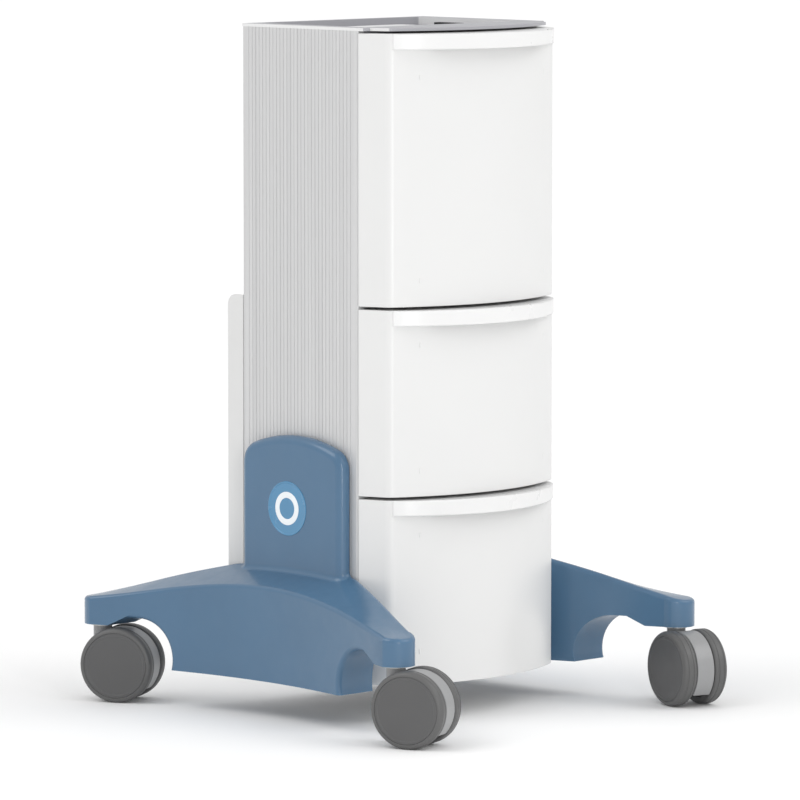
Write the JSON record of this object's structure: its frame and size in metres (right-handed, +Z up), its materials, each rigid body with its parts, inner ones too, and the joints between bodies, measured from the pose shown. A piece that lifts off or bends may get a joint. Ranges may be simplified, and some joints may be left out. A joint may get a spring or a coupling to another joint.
{
  "type": "equipment trolley",
  "caption": "Mobile equipment trolley with a ribbed aluminium column, bowed drawers on telescopic runners, a recessed docking deck, moulded side feet and twin-wheel swivel castors.",
  "frame": {"origin": "on the floor, under the middle of the footprint with the castors at their stored headings", "axes": "+Z up, -Y towards the side where the drawers open, +X to the right of someone who faces the drawers"},
  "size_m": [0.6024, 0.6748, 0.907],
  "materials": {
    "panel_aluminium": "ribbed, satin anodised",
    "case_white": "fine texture",
    "deck_grey": "fine texture",
    "dock_white": "smooth",
    "socket_black": "smooth",
    "tray_grey": "smooth",
    "sheet_steel": "powder coat",
    "zinc_steel": "bright zinc",
    "foot_blue": "satin, metallic blue",
    "badge_blue": "domed print",
    "hood_grey": "smooth",
    "wheel_grey": "satin"
  },
  "bodies": {
    "root": {"back_panel": "sheet_steel", "badge_left": "badge_blue", "badge_right": "badge_blue", "base_plate": "sheet_steel", "cable_duct_cover": "case_white", "castor_stems": "zinc_steel", "dock_plate": "dock_white", "dock_socket": "socket_black", "duct_screws": "zinc_steel", "foot_bolts": "zinc_steel", "foot_left": "foot_blue", "foot_right": "foot_blue", "lower_runner_outer": "zinc_steel", "lower_shelf": "sheet_steel", "middle_runner_outer": "zinc_steel", "side_panel_left": "panel_aluminium", "side_panel_right": "panel_aluminium", "swivel_races": "zinc_steel", "top_deck": "deck_grey", "upper_runner_outer": "zinc_steel", "upper_shelf": "sheet_steel"},
    "lower_drawer": {"lower_drawer_front": "case_white", "lower_drawer_pull": "case_white", "lower_drawer_tray": "tray_grey", "lower_drawer_screws": "zinc_steel", "lower_runner_inner": "zinc_steel"},
    "lower_runner": {"lower_runner_middle": "zinc_steel", "lower_runner_balls": "zinc_steel"},
    "middle_drawer": {"middle_drawer_front": "case_white", "middle_drawer_pull": "case_white", "middle_drawer_tray": "tray_grey", "middle_drawer_screws": "zinc_steel", "middle_runner_inner": "zinc_steel"},
    "middle_runner": {"middle_runner_middle": "zinc_steel", "middle_runner_balls": "zinc_steel"},
    "upper_drawer": {"upper_drawer_front": "case_white", "upper_drawer_pull": "case_white", "upper_drawer_tray": "tray_grey", "upper_drawer_screws": "zinc_steel", "upper_runner_inner": "zinc_steel"},
    "upper_runner": {"upper_runner_middle": "zinc_steel", "upper_runner_balls": "zinc_steel"},
    "front_left_swivel": {"front_left_castor_hood": "hood_grey", "front_left_castor_axle": "zinc_steel"},
    "front_left_wheel_left": {"front_left_castor_wheel_left": "wheel_grey"},
    "front_left_wheel_right": {"front_left_castor_wheel_right": "wheel_grey"},
    "front_right_swivel": {"front_right_castor_hood": "hood_grey", "front_right_castor_axle": "zinc_steel"},
    "front_right_wheel_left": {"front_right_castor_wheel_left": "wheel_grey"},
    "front_right_wheel_right": {"front_right_castor_wheel_right": "wheel_grey"},
    "rear_left_swivel": {"rear_left_castor_hood": "hood_grey", "rear_left_castor_axle": "zinc_steel"},
    "rear_left_wheel_left": {"rear_left_castor_wheel_left": "wheel_grey"},
    "rear_left_wheel_right": {"rear_left_castor_wheel_right": "wheel_grey"},
    "rear_right_swivel": {"rear_right_castor_hood": "hood_grey", "rear_right_castor_axle": "zinc_steel"},
    "rear_right_wheel_left": {"rear_right_castor_wheel_left": "wheel_grey"},
    "rear_right_wheel_right": {"rear_right_castor_wheel_right": "wheel_grey"}
  },
  "joints": [
    {"name": "lower_drawer_slide", "type": "slide", "parent": "root", "child": "lower_drawer", "axis": [0, -1, 0], "range_m": [0, 0.185]},
    {"name": "lower_runner_slide", "type": "slide", "parent": "root", "child": "lower_runner", "axis": [0, -1, 0], "range_m": [0, 0.0925]},
    {"name": "middle_drawer_slide", "type": "slide", "parent": "root", "child": "middle_drawer", "axis": [0, -1, 0], "range_m": [0, 0.185]},
    {"name": "middle_runner_slide", "type": "slide", "parent": "root", "child": "middle_runner", "axis": [0, -1, 0], "range_m": [0, 0.0925]},
    {"name": "upper_drawer_slide", "type": "slide", "parent": "root", "child": "upper_drawer", "axis": [0, -1, 0], "range_m": [0, 0.185]},
    {"name": "upper_runner_slide", "type": "slide", "parent": "root", "child": "upper_runner", "axis": [0, -1, 0], "range_m": [0, 0.0925]},
    {"name": "front_left_swivel", "type": "hinge", "parent": "root", "child": "front_left_swivel", "pos_m": [-0.263, -0.25432, 0.1], "axis": [0, 0, 1], "continuous": true},
    {"name": "front_left_wheel_left_spin", "type": "hinge", "parent": "front_left_swivel", "child": "front_left_wheel_left", "pos_m": [-0.25283, -0.28041, 0.05], "axis": [0.9317, 0.3633, 0], "continuous": true},
    {"name": "front_left_wheel_right_spin", "type": "hinge", "parent": "front_left_swivel", "child": "front_left_wheel_right", "pos_m": [-0.25283, -0.28041, 0.05], "axis": [0.9317, 0.3633, 0], "continuous": true},
    {"name": "front_right_swivel", "type": "hinge", "parent": "root", "child": "front_right_swivel", "pos_m": [0.263, -0.25432, 0.1], "axis": [0, 0, 1], "continuous": true},
    {"name": "front_right_wheel_left_spin", "type": "hinge", "parent": "front_right_swivel", "child": "front_right_wheel_left", "pos_m": [0.25556, -0.28131, 0.05], "axis": [0.9641, -0.2656, 0], "continuous": true},
    {"name": "front_right_wheel_right_spin", "type": "hinge", "parent": "front_right_swivel", "child": "front_right_wheel_right", "pos_m": [0.25556, -0.28131, 0.05], "axis": [0.9641, -0.2656, 0], "continuous": true},
    {"name": "rear_left_swivel", "type": "hinge", "parent": "root", "child": "rear_left_swivel", "pos_m": [-0.263, 0.30368, 0.1], "axis": [0, 0, 1], "continuous": true},
    {"name": "rear_left_wheel_left_spin", "type": "hinge", "parent": "rear_left_swivel", "child": "rear_left_wheel_left", "pos_m": [-0.24951, 0.27914, 0.05], "axis": [0.8763, 0.4818, 0], "continuous": true},
    {"name": "rear_left_wheel_right_spin", "type": "hinge", "parent": "rear_left_swivel", "child": "rear_left_wheel_right", "pos_m": [-0.24951, 0.27914, 0.05], "axis": [0.8763, 0.4818, 0], "continuous": true},
    {"name": "rear_right_swivel", "type": "hinge", "parent": "root", "child": "rear_right_swivel", "pos_m": [0.263, 0.30368, 0.1], "axis": [0, 0, 1], "continuous": true},
    {"name": "rear_right_wheel_left_spin", "type": "hinge", "parent": "rear_right_swivel", "child": "rear_right_wheel_left", "pos_m": [0.25042, 0.27867, 0.05], "axis": [0.8934, -0.4493, 0], "continuous": true},
    {"name": "rear_right_wheel_right_spin", "type": "hinge", "parent": "rear_right_swivel", "child": "rear_right_wheel_right", "pos_m": [0.25042, 0.27867, 0.05], "axis": [0.8934, -0.4493, 0], "continuous": true}
  ],
  "couplings": [
    {"joint": "lower_runner_slide", "follows": "lower_drawer_slide", "ratio": 0.5},
    {"joint": "middle_runner_slide", "follows": "middle_drawer_slide", "ratio": 0.5},
    {"joint": "upper_runner_slide", "follows": "upper_drawer_slide", "ratio": 0.5}
  ]
}
